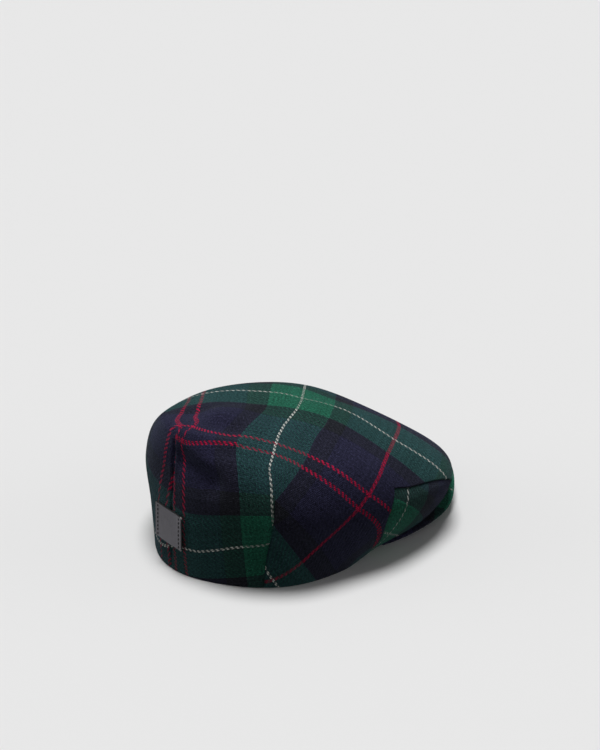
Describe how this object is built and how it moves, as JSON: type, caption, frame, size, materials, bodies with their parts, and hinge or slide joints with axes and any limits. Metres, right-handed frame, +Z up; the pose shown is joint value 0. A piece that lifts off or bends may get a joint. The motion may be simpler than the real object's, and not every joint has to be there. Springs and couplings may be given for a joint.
{
  "type": "flat cap",
  "caption": "Flat cap in dark tartan wool with a rounded crown pulled forward over an arched peak, triangular front-corner gussets and a leather patch at the back.",
  "frame": {"origin": "below the middle of the cap's box, on the surface it rests on", "axes": "+Z up out of the crown, -Y towards the peak, -X towards the wearer's right"},
  "size_m": [0.2136, 0.2804, 0.1203],
  "materials": {
    "tartan": "matte brushed wool twill, green, navy and black tartan with red and white lines",
    "patch_leather": "smooth satin dark grey leather"
  },
  "bodies": {
    "root": {"crown": "tartan", "gusset_right": "tartan", "gusset_left": "tartan", "peak": "tartan", "leather_patch": "patch_leather"}
  },
  "joints": []
}
